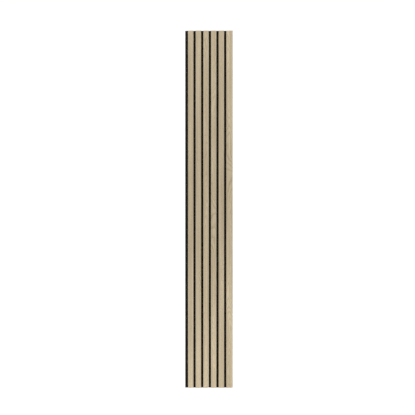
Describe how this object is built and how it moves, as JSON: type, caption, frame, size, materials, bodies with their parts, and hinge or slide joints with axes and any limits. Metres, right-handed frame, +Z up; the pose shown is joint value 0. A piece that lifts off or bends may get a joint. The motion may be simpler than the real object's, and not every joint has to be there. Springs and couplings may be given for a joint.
{
  "type": "acoustic slat wall panel",
  "caption": "Tall wall panel of oak-veneered fibreboard slats fixed side by side, with gaps, on a black felt board that absorbs sound. One slat is wider and flush with the panel's edge.",
  "frame": {"origin": "centre of the back face, on the wall", "axes": "+Z up along the slats, +Y into the wall (the slats face -Y, into the room), +X to the right as seen from the room, towards the wide slat"},
  "size_m": [0.319, 0.021, 2.4],
  "materials": {
    "oak_veneer": "matt lacquered",
    "fibreboard": "sawn",
    "black_felt": "needled",
    "staple_wire": "galvanised"
  },
  "bodies": {
    "root": {"felt_backing": "black_felt", "slat_core_1": "fibreboard", "slat_core_2": "fibreboard", "slat_core_3": "fibreboard", "slat_core_4": "fibreboard", "slat_core_5": "fibreboard", "slat_core_6": "fibreboard", "slat_veneer_1": "oak_veneer", "slat_veneer_2": "oak_veneer", "slat_veneer_3": "oak_veneer", "slat_veneer_4": "oak_veneer", "slat_veneer_5": "oak_veneer", "slat_veneer_6": "oak_veneer", "slat_staples": "staple_wire"}
  },
  "joints": []
}
